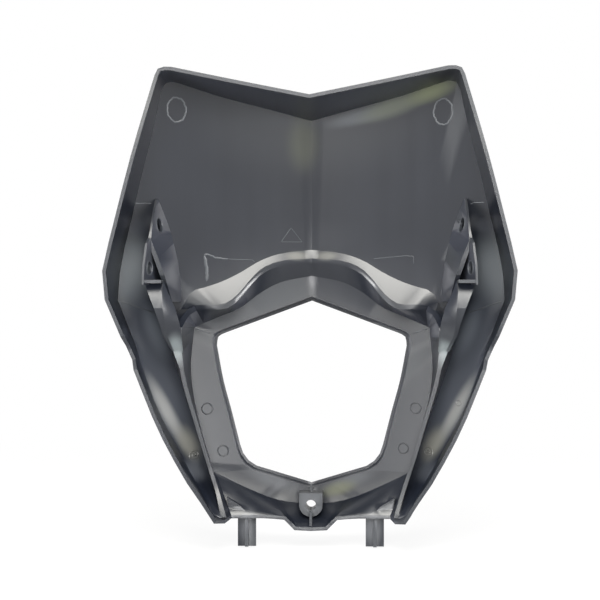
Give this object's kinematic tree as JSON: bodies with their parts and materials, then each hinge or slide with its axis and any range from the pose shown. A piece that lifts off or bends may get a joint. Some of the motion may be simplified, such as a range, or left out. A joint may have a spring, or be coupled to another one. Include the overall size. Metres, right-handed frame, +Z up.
{
  "type": "headlight cowl",
  "caption": "Moulded cowl for the front of an off-road motorbike, with a number-plate panel, a lamp window, side brackets for straps, lower pegs and a screw boss.",
  "frame": {"origin": "centre of the lower screw hole at its rear seat", "axes": "+Z up, +Y forward in the direction of travel, +X to the right when seen from behind"},
  "size_m": [0.2704, 0.0914, 0.3216],
  "materials": {
    "black_moulding": "satin, as moulded"
  },
  "bodies": {
    "root": {"cowl": "black_moulding"}
  },
  "joints": []
}
